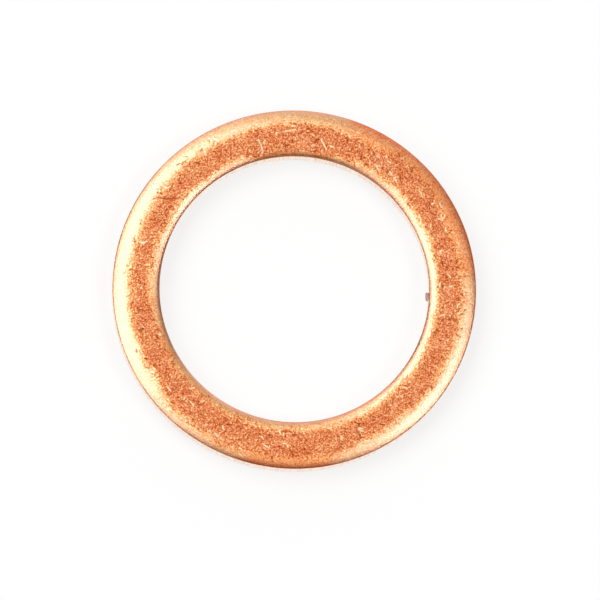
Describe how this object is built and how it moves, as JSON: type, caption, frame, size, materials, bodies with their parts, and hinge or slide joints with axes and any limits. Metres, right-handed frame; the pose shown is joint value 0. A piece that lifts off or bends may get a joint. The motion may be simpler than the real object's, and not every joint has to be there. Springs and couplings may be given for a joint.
{
  "type": "sealing washer",
  "caption": "Flat copper sealing washer: a plain ring punched from soft sheet, with a rolled-over front face, crushed under a plug or union to seal its joint.",
  "frame": {"origin": "middle of the bore in the plane of the back face, on which the ring lies", "axes": "+Z along the bore, from the flat back face towards the front face with the rolled-over edges; the ring is round, so +X and +Y are free"},
  "size_m": [0.0178, 0.0178, 0.0015],
  "materials": {
    "copper": "tumbled, annealed copper: satin and grainy on the land, brighter on the rolled edges"
  },
  "bodies": {
    "root": {"washer": "copper"}
  },
  "joints": []
}
